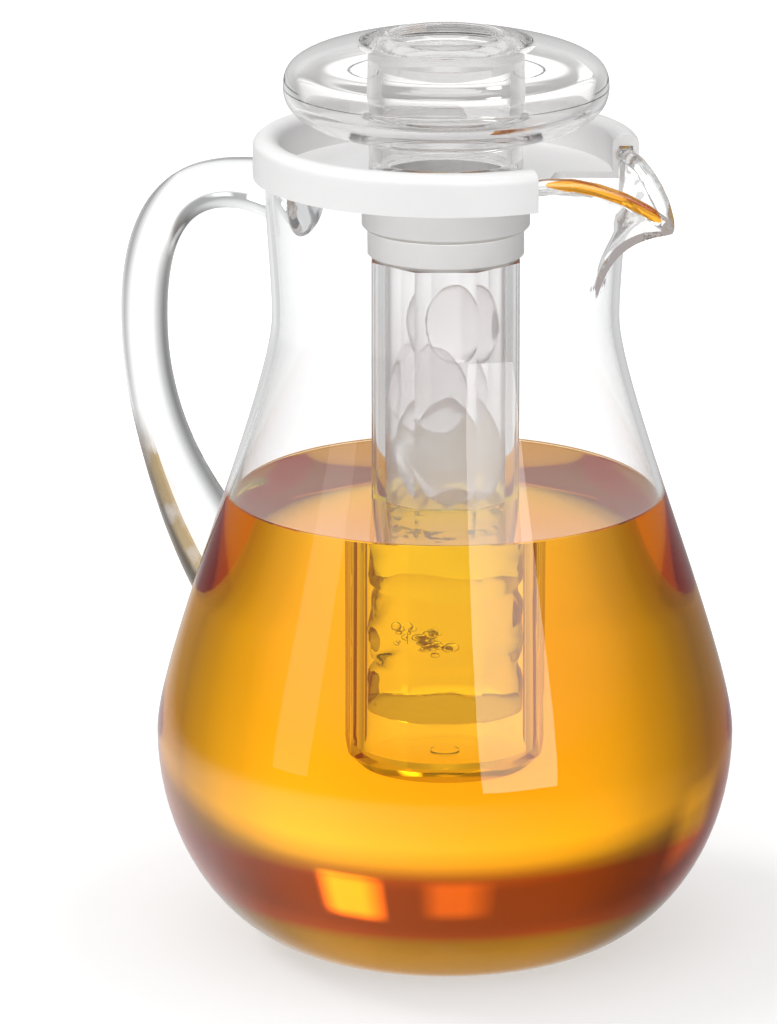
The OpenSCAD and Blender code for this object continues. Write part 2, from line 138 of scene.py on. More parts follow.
def finish_mesh(name, verts, faces, angle=35.0):
    """Mesh in metres from points in millimetres, smooth but for edges over the angle."""
    mesh = bpy.data.meshes.new(name)
    mesh.from_pydata([tuple(float(c) * MM for c in v) for v in verts], [], faces)
    bm = bmesh.new()
    bm.from_mesh(mesh)
    bmesh.ops.remove_doubles(bm, verts=bm.verts, dist=1e-6)
    bmesh.ops.recalc_face_normals(bm, faces=bm.faces)
    for f in bm.faces:
        f.smooth = True
    limit = math.radians(angle)
    for e in bm.edges:
        e.smooth = len(e.link_faces) != 2 or e.calc_face_angle(0.0) < limit
    bm.to_mesh(mesh)
    bm.free()
    mesh.validate()
    return mesh


def lathe(name, profile, segments=160, angle=35.0):
    """Closed revolve of a closed outline; points with radius 0 become poles."""
    verts, rings = [], []
    for r, z in profile:
        if r < 1e-6:
            rings.append([len(verts)])
            verts.append((0, 0, z))
        else:
            rings.append(list(range(len(verts), len(verts) + segments)))
            verts += circle(r, z, segments)
    faces = []
    count = len(profile)
    closed = profile[0][0] > 1e-6 or profile[-1][0] > 1e-6
    for k in range(count if closed else count - 1):
        a, b = rings[k], rings[(k + 1) % count]
        for i in range(segments):
            j = (i + 1) % segments
            if len(a) == 1 and len(b) == 1:
                continue
            if len(a) == 1:
                faces.append((a[0], b[j], b[i]))
            elif len(b) == 1:
                faces.append((a[i], a[j], b[0]))
            else:
                faces.append((a[i], a[j], b[j], b[i]))
    return finish_mesh(name, verts, faces, angle)


# Materials
def new_material(name):
    mat = bpy.data.materials.new(name)
    mat.use_nodes = True
    tree = mat.node_tree
    for n in list(tree.nodes):
        if n.type not in {"BSDF_PRINCIPLED", "OUTPUT_MATERIAL"}:
            tree.nodes.remove(n)
    return mat, tree, tree.nodes["Principled BSDF"]


def link(tree, a, b):
    tree.links.new(a, b)


def calc(tree, operation, a, b=None, c=None):
    """One math node; each input is a number or another node's output."""
    node = tree.nodes.new("ShaderNodeMath")
    node.operation = operation
    for socket, value in zip(node.inputs, (a, b, c)):
        if isinstance(value, (int, float)):
            socket.default_value = value
        elif value is not None:
            link(tree, value, socket)
    return node.outputs["Value"]


def height_of(tree, source):
    split = tree.nodes.new("ShaderNodeSeparateXYZ")
    link(tree, source, split.inputs["Vector"])
    return split.outputs["Z"]


def object_coords(tree):
    return tree.nodes.new("ShaderNodeTexCoord").outputs["Object"]


def make_clear(shader, tint, transmission, ior):
    shader.inputs["Base Color"].default_value = (*tint, 1)
    shader.inputs["Transmission Weight"].default_value = transmission
    shader.inputs["IOR"].default_value = ior


def fine_bump(tree, shader, scale, strength, distance=0.0002, detail=3.0):
    """Faint surface waviness in object space."""
    coords = tree.nodes.new("ShaderNodeTexCoord")
    noise = tree.nodes.new("ShaderNodeTexNoise")
    noise.inputs["Scale"].default_value = scale
    noise.inputs["Detail"].default_value = detail
    bump = tree.nodes.new("ShaderNodeBump")
    bump.inputs["Strength"].default_value = strength
    bump.inputs["Distance"].default_value = distance
    link(tree, coords.outputs["Object"], noise.inputs["Vector"])
    link(tree, noise.outputs["Fac"], bump.inputs["Height"])
    link(tree, bump.outputs["Normal"], shader.inputs["Normal"])
    return coords, noise


def ramp_between(tree, source, socket, low, high, low_value, high_value):
    """Drives the socket from low_value to high_value as the source goes from low to high."""
    spread = tree.nodes.new("ShaderNodeMapRange")
    spread.inputs["From Min"].default_value = low
    spread.inputs["From Max"].default_value = high
    spread.inputs["To Min"].default_value = low_value
    spread.inputs["To Max"].default_value = high_value
    link(tree, source, spread.inputs["Value"])
    link(tree, spread.outputs["Result"], socket)


def end_trapped(tree, shader, glow):
    """Rays that the plastic has trapped for many bounces end in a soft glow, not in black."""
    path = tree.nodes.new("ShaderNodeLightPath")
    light = tree.nodes.new("ShaderNodeEmission")
    light.inputs["Color"].default_value = (*glow, 1)
    mix = tree.nodes.new("ShaderNodeMixShader")
    link(tree, calc(tree, "GREATER_THAN", path.outputs["Ray Depth"], TRAPPED_DEPTH), mix.inputs["Fac"])
    link(tree, shader.outputs["BSDF"], mix.inputs[1])
    link(tree, light.outputs["Emission"], mix.inputs[2])
    link(tree, mix.outputs["Shader"], tree.nodes["Material Output"].inputs["Surface"])


def rough_foot(tree, low, high):
    """More waviness on the jug's foot than on its wall."""
    z = height_of(tree, object_coords(tree))
    bump = next(n for n in tree.nodes if n.type == "BUMP")
    ramp_between(tree, z, bump.inputs["Distance"], 0.012, 0.03, high, low)


def clear_plastic(name, tint=CLEAR_TINT, roughness=0.0, ior=1.49, wave=0.12):
    mat, tree, shader = new_material(name)
    make_clear(shader, tint, 1.0, ior)
    shader.inputs["Roughness"].default_value = roughness
    coords, _ = fine_bump(tree, shader, 18.0, wave, 0.0003, 1.0)
    scuff = tree.nodes.new("ShaderNodeTexNoise")
    scuff.inputs["Scale"].default_value = 60.0
    scuff.inputs["Detail"].default_value = 2.0
    link(tree, coords.outputs["Object"], scuff.inputs["Vector"])
    ramp_between(
        tree, scuff.outputs["Fac"], shader.inputs["Roughness"], 0.45, 0.75, roughness, roughness + 0.02
    )
    return mat


def wet_tube_plastic(name, ior, wet_ior):
    """Clear plastic whose faces in the drink, and in the meltwater of the bore, have the lower contrast."""
    mat = clear_plastic(name, TUBE_TINT, 0.0, ior)
    tree = mat.node_tree
    out_of_liquid = tree.nodes["Principled BSDF"]
    in_liquid = tree.nodes.new("ShaderNodeBsdfPrincipled")
    make_clear(in_liquid, TUBE_TINT, 1.0, wet_ior)
    in_liquid.inputs["Roughness"].default_value = 0.0
    link(tree, out_of_liquid.inputs["Normal"].links[0].from_socket, in_liquid.inputs["Normal"])

    def polar(source):
        split = tree.nodes.new("ShaderNodeSeparateXYZ")
        link(tree, source, split.inputs["Vector"])
        x, y = split.outputs["X"], split.outputs["Y"]
        square = calc(tree, "ADD", calc(tree, "MULTIPLY", x, x), calc(tree, "MULTIPLY", y, y))
        return calc(tree, "SQRT", square), split.outputs["Z"]

    r, z = polar(object_coords(tree))
    world_z = height_of(tree, tree.nodes.new("ShaderNodeNewGeometry").outputs["Position"])
    beyond = calc(tree, "GREATER_THAN", r, TUBE_SKIN_R)
    outer = calc(tree, "MAXIMUM", beyond, calc(tree, "LESS_THAN", z, TUBE_SKIN_Z))
    in_drink = calc(tree, "MULTIPLY", outer, calc(tree, "LESS_THAN", world_z, DRINK_Z * MM))
    bore = calc(tree, "SUBTRACT", 1.0, outer)
    in_melt = calc(tree, "MULTIPLY", bore, calc(tree, "LESS_THAN", z, MELT_Z * MM))
    mix = tree.nodes.new("ShaderNodeMixShader")
    link(tree, calc(tree, "MAXIMUM", in_drink, in_melt), mix.inputs["Fac"])
    link(tree, out_of_liquid.outputs["BSDF"], mix.inputs[1])
    link(tree, in_liquid.outputs["BSDF"], mix.inputs[2])
    link(tree, mix.outputs["Shader"], tree.nodes["Material Output"].inputs["Surface"])
    return mat


def haze_low(mat):
    """Denser frost towards the meltwater."""
    tree = mat.node_tree
    z = height_of(tree, object_coords(tree))
    shader = tree.nodes["Principled BSDF"]
    ramp_between(tree, z, shader.inputs["Transmission Weight"], 0.185, 0.215, 0.76, 0.9)


def paint_drink_light(mat, out_of_liquid, in_liquid):
    """Painted amber light of the drink round the piece: a colour where it lies below the drink's level, at
    any pose.
    """
    tree = mat.node_tree
    z = height_of(tree, tree.nodes.new("ShaderNodeNewGeometry").outputs["Position"])
    ramp = tree.nodes.new("ShaderNodeValToRGB")
    ramp.color_ramp.elements[0].color = (*out_of_liquid, 1)
    ramp.color_ramp.elements[1].color = (*in_liquid, 1)
    link(tree, calc(tree, "LESS_THAN", z, DRINK_Z * MM), ramp.inputs["Fac"])
    link(tree, ramp.outputs["Color"], tree.nodes["Principled BSDF"].inputs["Base Color"])


def paint_drink_refraction(mat):
    """Painted amber refraction of the drink, in patches on the outer side of the handle's low end."""
    tree = mat.node_tree
    coords = object_coords(tree)
    low = tree.nodes.new("ShaderNodeMapRange")
    low.inputs["From Min"].default_value = 0.165
    low.inputs["From Max"].default_value = 0.15
    link(tree, height_of(tree, coords), low.inputs["Value"])
    face = tree.nodes.new("ShaderNodeNewGeometry")
    facing = tree.nodes.new("ShaderNodeVectorMath")
    facing.operation = "DOT_PRODUCT"
    facing.inputs[1].default_value = STREAK_SIDE
    link(tree, face.outputs["True Normal"], facing.inputs[0])
    turned = tree.nodes.new("ShaderNodeMapRange")
    turned.inputs["From Min"].default_value = 0.25
    turned.inputs["From Max"].default_value = 0.5
    link(tree, facing.outputs["Value"], turned.inputs["Value"])
    patchy = tree.nodes.new("ShaderNodeTexNoise")
    patchy.inputs["Scale"].default_value = 70.0
    link(tree, coords, patchy.inputs["Vector"])
    share = calc(tree, "MULTIPLY", low.outputs["Result"], turned.outputs["Result"])
    share = calc(tree, "MULTIPLY", share, patchy.outputs["Fac"])
    ramp = tree.nodes.new("ShaderNodeValToRGB")
    ramp.color_ramp.elements[0].color = (*CLEAR_TINT, 1)
    ramp.color_ramp.elements[1].position = 0.5
    ramp.color_ramp.elements[1].color = (0.2, 0.115, 0.035, 1)
    link(tree, share, ramp.inputs["Fac"])
    link(tree, ramp.outputs["Color"], tree.nodes["Principled BSDF"].inputs["Base Color"])


def white_plastic(name, colour=(0.9, 0.893, 0.892), roughness=0.42):
    mat, tree, shader = new_material(name)
    shader.inputs["IOR"].default_value = 1.5
    shader.inputs["Subsurface Weight"].default_value = 0.15
    shader.inputs["Subsurface Radius"].default_value = (1.0, 1.0, 1.0)
    shader.inputs["Subsurface Scale"].default_value = 0.002
    coords, noise = fine_bump(tree, shader, 900.0, 0.08, 0.0001, 2.0)
    tone = tree.nodes.new("ShaderNodeTexNoise")
    tone.inputs["Scale"].default_value = 35.0
    ramp = tree.nodes.new("ShaderNodeValToRGB")
    ramp.color_ramp.elements[0].position = 0.3
    ramp.color_ramp.elements[0].color = (*[c * 0.97 for c in colour], 1)
    ramp.color_ramp.elements[1].position = 0.7
    ramp.color_ramp.elements[1].color = (*colour, 1)
    link(tree, coords.outputs["Object"], tone.inputs["Vector"])
    link(tree, tone.outputs["Fac"], ramp.inputs["Fac"])
    link(tree, ramp.outputs["Color"], shader.inputs["Base Color"])
    ramp_between(
        tree, noise.outputs["Fac"], shader.inputs["Roughness"], 0.3, 0.7, roughness - 0.05, roughness + 0.05
    )
    return mat


# Painted shade on the drink near its foot: a tint of light that enters the drink, by height in millimetres
FOOT_PAINTED_SHADE = [
    (0, (0.5, 0.55, 0.9)), (20, (0.5, 0.48, 0.8)), (24, (0.66, 0.09, 0.3)),
    (45, (0.76, 0.11, 0.34)), (51, (1, 1, 1))
]


def drink_material(name, ior=1.33, volume=True, tint=(1, 1, 1)):
    mat, tree, shader = new_material(name)
    make_clear(shader, tint, 1.0, ior)
    shader.inputs["Roughness"].default_value = 0.0
    fine_bump(tree, shader, 25.0, 0.05, 0.0003, 1.0)
    if volume:
        # Painted shade: light that enters the drink is darkened near its foot, by height
        z = height_of(tree, object_coords(tree))
        deep = tree.nodes.new("ShaderNodeValToRGB")
        elements = deep.color_ramp.elements
        while len(elements) < len(FOOT_PAINTED_SHADE):
            elements.new(0.5)
        for element, (height, colour) in zip(elements, FOOT_PAINTED_SHADE):
            element.position = height / 100
            element.color = (*colour, 1)
        link(tree, calc(tree, "MULTIPLY", z, 10.0), deep.inputs["Fac"])
        mix = tree.nodes.new("ShaderNodeMixRGB")
        link(tree, tree.nodes.new("ShaderNodeNewGeometry").outputs["Backfacing"], mix.inputs["Fac"])
        link(tree, deep.outputs["Color"], mix.inputs[1])
        mix.inputs[2].default_value = (1, 1, 1, 1)
        link(tree, mix.outputs["Color"], shader.inputs["Base Color"])
        absorb = tree.nodes.new("ShaderNodeVolumeAbsorption")
        absorb.inputs["Color"].default_value = (0.994, 0.855, 0.15, 1)
        absorb.inputs["Density"].default_value = 40.0
        link(tree, absorb.outputs["Volume"], tree.nodes["Material Output"].inputs["Volume"])
    return mat


def lip_drink_material(name):
    """Amber of a thin film, stronger than the deep drink for its thickness."""
    mat, tree, shader = new_material(name)
    make_clear(shader, (1.0, 0.45, 0.04), 1.0, 1.02)
    shader.inputs["Roughness"].default_value = 0.05
    fine_bump(tree, shader, 200.0, 0.4, 0.0006, 2.0)
    return mat


def ice_material(name, clear, ior, low_rough, high_rough, bump=0.4):
    mat, tree, shader = new_material(name)
    make_clear(shader, (0.99, 0.975, 0.97), clear, ior)
    coords, _ = fine_bump(tree, shader, 60.0, bump, 0.001, 3.0)
    cloud = tree.nodes.new("ShaderNodeTexNoise")
    cloud.inputs["Scale"].default_value = 45.0
    cloud.inputs["Detail"].default_value = 4.0
    link(tree, coords.outputs["Object"], cloud.inputs["Vector"])
    ramp_between(tree, cloud.outputs["Fac"], shader.inputs["Roughness"], 0.4, 0.65, low_rough, high_rough)
    return mat


# Jug: columns of outline round the axis, with the spout as a keeled horn
def smooth_max(a, b, k):
    """The larger of two values, with a fillet where they differ by less than k."""
    near = max(k - abs(a - b), 0) / k
    return max(a, b) + near * near * k / 4


def smooth_min(a, b, k):
    near = max(k - abs(a - b), 0) / k
    return min(a, b) - near * near * k / 4


KEEL_FOOT_Z = RIM_Z - SPOUT_H
KEEL_TIP_Z = KEEL_FOOT_Z + SPOUT_H * 0.625
KEEL_CURVE = [
    (WAIST_R, KEEL_FOOT_Z), (WAIST_R + 4, KEEL_FOOT_Z + 9),
    (NECK_R + SPOUT_REACH - 22, KEEL_TIP_Z - 4.4), (NECK_R + SPOUT_REACH, KEEL_TIP_Z)
]
KEEL = bezier(KEEL_CURVE, 60)[0]
LIP_RUN = (0, 0.17, 0.34, 0.51, 0.68, 0.84, 1)
LIP_FALL = (0.17, 0.11, 0.13, 0.24, 0.42, 0.67, 1)
LIP_START_R = RIM_IN_R
LIP_TIP_X = NECK_R + SPOUT_REACH - 2.47


def horn_radius(theta, z, top, inset=0.0, lift=0.0):
    """Distance from the axis to the horn's wall at an angle in degrees and a height."""
    tip = float(np.interp(along_keel(z, top) - lift, KEEL[:, 1], KEEL[:, 0])) - inset
    z = z - lift
    if z < KEEL_FOOT_Z - 12:
        return 0.0
    if z < KEEL_FOOT_Z:
        tip -= (KEEL_FOOT_Z - z) * 0.7
    rise = (z - KEEL_FOOT_Z) / (SPOUT_H - 2.4)
    side_r = WAIST_R + (NECK_R - WAIST_R) * min(max(rise, 0), 1) - WALL / 2
    half = max(SPOUT_HALF * min(rise, 1.0) - math.degrees(inset / side_r), 1.5)
    sx, sy = side_r * math.cos(math.radians(half)), side_r * math.sin(math.radians(half))
    if tip + 1.6 <= sx:
        return 0.0
    nx, ny = sy, tip + 1.6 - sx
    size = math.hypot(nx, ny)
    nx, ny = nx / size, ny / size
    p = nx * (tip + 1.6)
    psi = math.atan2(ny, nx)
    t = math.radians(abs(theta))
    near = p / max(math.cos(t - psi), 0.15)
    far = p / max(math.cos(t + psi), 0.15)
    beyond = abs(theta) - half
    return min(smooth_min(near, far, 6.0), side_r - 0.5 * beyond if beyond > 0 else 999)


def along_keel(z, top):
    """Height on the keel's curve for a height in a column that ends at top, so that no shelf forms."""
    if z < KEEL_FOOT_Z:
        return z
    return KEEL_FOOT_Z + (z - KEEL_FOOT_Z) * (KEEL_TIP_Z - KEEL_FOOT_Z) / (top - KEEL_FOOT_Z)


def lip_centre(theta):
    """Radius, height, bead radius and skew of the rim's bead at an angle in degrees."""
    t = math.radians(abs(theta))
    neck = (RIM_IN_R + 2.0, RIM_Z - 2.0, 2.0, 1.0)
    if abs(theta) > SPOUT_HALF + 2.5:
        return neck
    x0 = LIP_START_R * math.cos(math.radians(SPOUT_HALF))
    y0 = LIP_START_R * math.sin(math.radians(SPOUT_HALF))
    dx = LIP_TIP_X - x0
    s = (y0 - x0 * math.tan(t)) / (y0 + dx * math.tan(t))
    s_in = min(max(s, 0.0), 1.0)
    x, y = x0 + dx * s, y0 * (1 - s)
    r = math.hypot(x, y)
    r = smooth_min(r, LIP_TIP_X / math.cos(t), 3.0)
    z = RIM_Z - LIP_DROP * float(np.interp(s_in, LIP_RUN, LIP_FALL))
    normal = math.atan2(dx, y0)
    skew = 1 / math.cos(min(abs(normal - t), 0.8))
    skew = 1 + (skew - 1) * min(abs(theta) / 5, 1)
    spout = (r, z, 2.35, skew)
    mix = min(max((abs(theta) - SPOUT_HALF + 1.5) / 4.0, 0), 1)
    mix = mix * mix * (3 - 2 * mix)
    return tuple(a + (b - a) * mix for a, b in zip(spout, neck))


def jug_columns():
    fine = [i * 0.5 for i in range(-76, 77)]
    coarse = [38 + (322 - 38) * (i + 1) / 117 for i in range(116)]
    return fine + coarse


LOW_ROWS = [p for p in OUTER if p[1] < 214]
NECK_ROWS = 44
BEAD_STEPS = 14


def jug_column(theta):
    """Outline of the jug's wall at an angle: outer wall up, round the bead, inner wall down."""
    rc, zc, rb, skew = lip_centre(theta)
    rows = [(r, z) for r, z in LOW_ROWS]
    near_spout = abs(theta) < SPOUT_HALF + 4
    start = LOW_ROWS[-1][1]
    top = zc - rb * 0.8
    for k in range(1, NECK_ROWS + 1):
        z = start + (top - start) * k / NECK_ROWS
        r = radius_at(OUTER, z)
        if near_spout:
            r = smooth_max(r, horn_radius(theta, z, top), 2.4)
        if k > NECK_ROWS - 3:
            r = min(r, rc + rb * skew * 0.75)
        rows.append((r, z))
    for k in range(BEAD_STEPS + 1):
        a = math.radians(-42 + 245 * k / BEAD_STEPS)
        rows.append((rc + rb * skew * math.cos(a), zc + rb * math.sin(a)))
    inner = []
    for k in range(NECK_ROWS, 0, -1):
        z = start + (top - start) * k / NECK_ROWS
        r = radius_at(INNER, z)
        if near_spout:
            outside = smooth_max(radius_at(OUTER, z), horn_radius(theta, z, top), 2.4)
            r = smooth_min(smooth_max(r, horn_radius(theta, z, top, WALL, WALL), 2.4), outside - 1.9, 0.6)
        inner.append((r, z))
    rows.extend(inner)
    below = [tuple(p) for p in INNER if FLOOR_T + 0.4 < p[1] < start and abs(p[1] - DRINK_Z) > 1]
    rows.extend(sorted(below + [(radius_at(INNER, DRINK_Z), DRINK_Z)], key=lambda p: -p[1]))
    rows.append((radius_at(INNER, FLOOR_T + 0.4), FLOOR_T + 0.1))
    rows.append((44.0, FLOOR_T))
    return rows


def jug_mesh():
    columns = jug_columns()
    verts, faces = [], []
    grid = []
    for theta in columns:
        a = math.radians(theta)
        ids = []
        for r, z in jug_column(theta):
            ids.append(len(verts))
            verts.append((r * math.cos(a), r * math.sin(a), z))
        grid.append(ids)
    count = len(grid[0])
    foot, floor = len(verts), len(verts) + 1
    verts += [(0, 0, 0), (0, 0, FLOOR_T)]
    for i, column in enumerate(grid):
        after = grid[(i + 1) % len(grid)]
        for k in range(count - 1):
            faces.append((column[k], after[k], after[k + 1], column[k + 1]))
        faces.append((foot, after[0], column[0]))
        faces.append((floor, column[-1], after[-1]))
    return finish_mesh("jug_shell", verts, faces, 55)


def mark_wet(mesh):
    """Second material on the inner faces that the drink covers."""
    middle = wall_line(WALL / 2)
    for face in mesh.polygons:
        x, y, z = (c / MM for c in face.center)
        inside = z > FLOOR_T - 0.6 and math.hypot(x, y) < max(radius_at(middle, z), 20)
        face.material_index = 1 if inside and z < DRINK_Z else 0


CLEAR = clear_plastic("clear_jug_plastic", wave=0.2)
WET = clear_plastic("wet_jug_plastic", ior=1.49 / 1.33, wave=0.6)
end_trapped(CLEAR.node_tree, CLEAR.node_tree.nodes["Principled BSDF"], (0.42, 0.38, 0.37))
end_trapped(WET.node_tree, WET.node_tree.nodes["Principled BSDF"], (0.3, 0.13, 0.06))
rough_foot(WET.node_tree, 0.0003, 0.002)
HANDLE = clear_plastic("clear_handle_plastic")
# The handle's low end gets a painted amber refraction of the drink, in its colour.
paint_drink_refraction(HANDLE)
CLEAR_TUBE = wet_tube_plastic("clear_tube_plastic", 1.45, 1.17)
CLEAR_KNOB = clear_plastic("clear_knob_plastic", (0.95, 0.944, 0.94))
WHITE = white_plastic("white_satin_plastic")
# The collar's white is painted lighter than the cover's, to lift the shade it lies in inside the jug.
WHITE_COLLAR_LIGHTENED = white_plastic("white_collar_plastic_painted_light", (0.99, 0.98, 0.978))
DRINK = drink_material("amber_drink", ior=1.0)
DRINK_SKIN = drink_material("amber_drink_skin", volume=False, tint=(0.9, 0.86, 0.5))
LIP_DRINK = lip_drink_material("amber_film")
ICE = ice_material("melting_ice", 0.92, 1.1, 0.1, 0.35)
ICE_BLOCK = ice_material("frozen_block", 1.0, 1.15, 0.0, 0.02, 0.5)
# The block's amber below the drink's level is painted light of the drink around the tube.
paint_drink_light(ICE_BLOCK, (0.97, 0.975, 0.98), (0.9, 0.92, 0.4))
FROST = ice_material("frost_film", 0.87, 1.01, 0.4, 0.6)
haze_low(FROST)
MELT = drink_material("melt_water", volume=False)

jug = add_object("jug_shell", jug_mesh(), "jug")
jug.data.materials.append(CLEAR)
jug.data.materials.append(WET)
mark_wet(jug.data)
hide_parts("jug_body")

# Handle: a round bar along two curves, its ends set into the middle of the wall
GRIP_X, GRIP_Z, GRIP_R = -117.4, 195.0, 7.8
TOP_CURVE = [(-52.6, 242), (-84.6, 249), (GRIP_X, GRIP_Z + 51), (GRIP_X, GRIP_Z)]
LOW_CURVE = [(GRIP_X, GRIP_Z), (GRIP_X, GRIP_Z - 23), (-111, 145), (-83, 110)]
WIDTHS = (
    1.62, 1.4, 1.22, 1.12, 1.07, 1.04, 1.03, 1.02, 1.01, 1, 1, 1, 1,
    1, 1, 1.01, 1.03, 1.06, 1.1, 1.17, 1.27, 1.4, 1.54, 1.68, 1.8
)


def handle_mesh():
    steps, sides = 36, 36
    top, low = bezier(TOP_CURVE, steps)[0], bezier(LOW_CURVE, steps)[0]
    path = np.concatenate([top, low[1:]])
    last = len(path) - 1
    widths = np.interp(np.linspace(0, 24, last + 1), range(25), WIDTHS) * GRIP_R
    middle = wall_line(WALL / 2)
    verts, rings = [], []
    for k in range(last + 1):
        ahead = path[min(k + 1, last)] - path[max(k - 1, 0)]
        ahead /= np.linalg.norm(ahead)
        up = np.array([-ahead[1], ahead[0]])
        ids = []
        for i in range(sides):
            a = 2 * math.pi * i / sides
            x, z = path[k] + widths[k] * math.sin(a) * up
            y = widths[k] * math.cos(a)
            ids.append(len(verts))
            verts.append(push_out(x, y, z, middle))
        rings.append(ids)
    faces = []
    for a, b in zip(rings[:-1], rings[1:]):
        bridge(faces, a, b)
    for ring in (rings[0], rings[-1]):
        centre = np.mean([verts[i] for i in ring], axis=0)
        before = ring
        for share in (0.66, 0.33):
            ids = []
            for i in ring:
                q = centre + (np.array(verts[i]) - centre) * share
                ids.append(len(verts))
                verts.append(push_out(q[0], q[1], q[2], middle))
            bridge(faces, before, ids)
            before = ids
        hub = len(verts)
        verts.append(push_out(centre[0], centre[1], centre[2], middle))
        for i in range(sides):
            faces.append((before[i], before[(i + 1) % sides], hub))
    return finish_mesh("handle_bar", verts, faces, 60)


def push_out(x, y, z, line):
    """Moves a point that lies inside the wall's middle out to it, along X."""
    r = radius_at(line, z)
    if math.hypot(x, y) < r and abs(y) < r:
        x = -math.sqrt(r * r - y * y)
    return (x, y, z)


handle = add_object("handle_bar", handle_mesh(), "jug")
handle.data.materials.append(HANDLE)
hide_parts("handle")

# Knob: one hollow turned shell with its stem and plug
DISC_LOW_Z, DISC_TOP_Z, DISC_R, KNOB_WALL = 270.5, 303.3, 52.8, 4.4
SEAM_Z = DISC_LOW_Z + 15.6
LOW_SIDE = [(28.1, DISC_LOW_Z), (45.5, DISC_LOW_Z + 2.8), (DISC_R, SEAM_Z - 8.5), (DISC_R, SEAM_Z)]
TOP_SIDE = [(DISC_R, SEAM_Z), (DISC_R, SEAM_Z + 9.5), (46, DISC_TOP_Z - 6), (19.1, DISC_TOP_Z)]


def arc(cx, cz, r, start, end, count=5):
    return [
        (cx + r * math.cos(math.radians(start + (end - start) * i / count)),
         cz + r * math.sin(math.radians(start + (end - start) * i / count)))
        for i in range(count + 1)
    ]


def knob_outlines():
    """Outlines of the knob's outside, of the hollow in its stem and of the hollow in its disc."""
    low, low_n = bezier(LOW_SIDE, 26)
    top, top_n = bezier(TOP_SIDE, 34)
    outer = [(0, 245.2)] + arc(20.45, 246.0, 0.8, -90, 0, 3) + [(21.25, 258.1)]
    outer += arc(24.5, 258.7, 0.6, -90, 0, 3) + arc(28.1, 267.5, 3.0, 180, 90, 6)[:-1]
    outer += [tuple(p) for p in low]
    outer += [(DISC_R - 0.25, SEAM_Z + 0.12), (DISC_R, SEAM_Z + 0.3)]
    outer += [tuple(p) for p in top[2:]]
    outer += arc(19.1, DISC_TOP_Z - 1, 1.0, 90, 180, 4)[1:]
    outer += arc(17.3, 298.1, 0.8, 0, -90, 4) + [(0, 297.3)]
    inner_r = 25.1 - KNOB_WALL
    stem_void = [(0, 249.6), (16.2, 249.6), (16.85, 250.3), (16.85, 258.5), (inner_r, 262.5)]
    stem_void += [(inner_r, 291.7), (inner_r - 0.9, 292.9), (0, 292.9)]
    ring = [tuple(p + KNOB_WALL * n) for p, n in zip(low, low_n)]
    ring += [tuple(p + KNOB_WALL * n) for p, n in zip(top, top_n)][1:]
    ring = [p for p in ring if p[0] > 26.4]
    ring_void = [(25.1, 276.3), (26.0, 275.1)] + ring + [(26.2, 297.7), (25.1, 296.8)]
    return outer, stem_void, ring_void


def joined_lathes(name, outlines, flips, segments=160, angle=35.0):
    """Several turned surfaces in one mesh; the flipped ones bound hollows."""
    target = bmesh.new()
    for outline, flip in zip(outlines, flips):
        part = lathe(name + "_part", outline, segments, angle)
        bm = bmesh.new()
        bm.from_mesh(part)
        if flip:
            bmesh.ops.reverse_faces(bm, faces=bm.faces)
        bm.to_mesh(part)
        bm.free()
        target.from_mesh(part)
        bpy.data.meshes.remove(part)
    mesh = bpy.data.meshes.new(name)
    target.to_mesh(mesh)
    target.free()
    return mesh


knob_shell = joined_lathes("knob_shell", knob_outlines(), (False, True, True))
knob = add_object("knob_shell", knob_shell, "knob")
knob.data.materials.append(CLEAR_KNOB)
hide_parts("knob_base", "knob_top")

# Carried-over CAD nodes
for node, mat in (
    ("cover", WHITE), ("tube_collar", WHITE_COLLAR_LIGHTENED), ("ice_tube", CLEAR_TUBE), ("tube_washer", WHITE)
):
    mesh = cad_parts[node].data
    mesh.materials.clear()
    mesh.materials.append(mat)

# Drink: it wets the wall and the tube, so each skin lies inside the plastic
TUBE_FLAT, TUBE_LOW_Z = 24.0, 59.0
POCKET_FLAT, POCKET_Z = TUBE_FLAT - 1.0, TUBE_LOW_Z + 1.6


def octagon(flat, z, per_side):
    """Points round an eight-sided outline; flat is the distance from the axis to a side."""
    points = []
    for s in range(8):
        a0 = math.radians(CORNER_TURN + 45 * s)
        a1 = a0 + math.radians(45)
        r = flat / math.cos(math.radians(22.5))
        p0 = np.array([r * math.cos(a0), r * math.sin(a0)])
        p1 = np.array([r * math.cos(a1), r * math.sin(a1)])
        for i in range(per_side):
            q = p0 + (p1 - p0) * i / per_side
            points.append((q[0], q[1], z))
    return points


def drink_ring_rows():
    """The drink's outline in the middle of the wet wall, from the axis up to the level."""
    middle = wall_line(WALL * 0.5)
    rows = [(r, z) for r, z in middle if 4.0 < z < DRINK_Z - 0.6]
    return [(0.0, FLOOR_T - 1.6), (rows[0][0] * 0.97, FLOOR_T - 1.6)] + rows


def drink_body_mesh():
    """Closed body of the drink with an eight-sided well for the tube."""
    sides, verts, rings, faces = 192, [], [], []
    edge = radius_at(wall_line(WALL * 0.5), DRINK_Z - 0.3)
    for r, z in drink_ring_rows() + [(edge, DRINK_Z - 0.3), (edge - 1.0, DRINK_Z - 0.05)]:
        if r == 0:
            rings.append([len(verts)])
            verts.append((0, 0, z))
            continue
        rings.append(list(range(len(verts), len(verts) + sides)))
        verts += circle(r, z, sides)
    for a, b in zip(rings[:-1], rings[1:]):
        for i in range(sides):
            j = (i + 1) % sides
            faces.append((a[0], b[j], b[i]) if len(a) == 1 else (a[i], a[j], b[j], b[i]))
    shift = int(round(CORNER_TURN / 360 * sides))
    before = [rings[-1][(i + shift) % sides] for i in range(sides)]
    for z, shrink in WELL_LEVELS:
        ids = list(range(len(verts), len(verts) + sides))
        verts += octagon(POCKET_FLAT - shrink, z, sides // 8)
        bridge(faces, before, ids)
        before = ids
    faces.append(tuple(before))
    return finish_mesh("drink", verts, faces, 30)


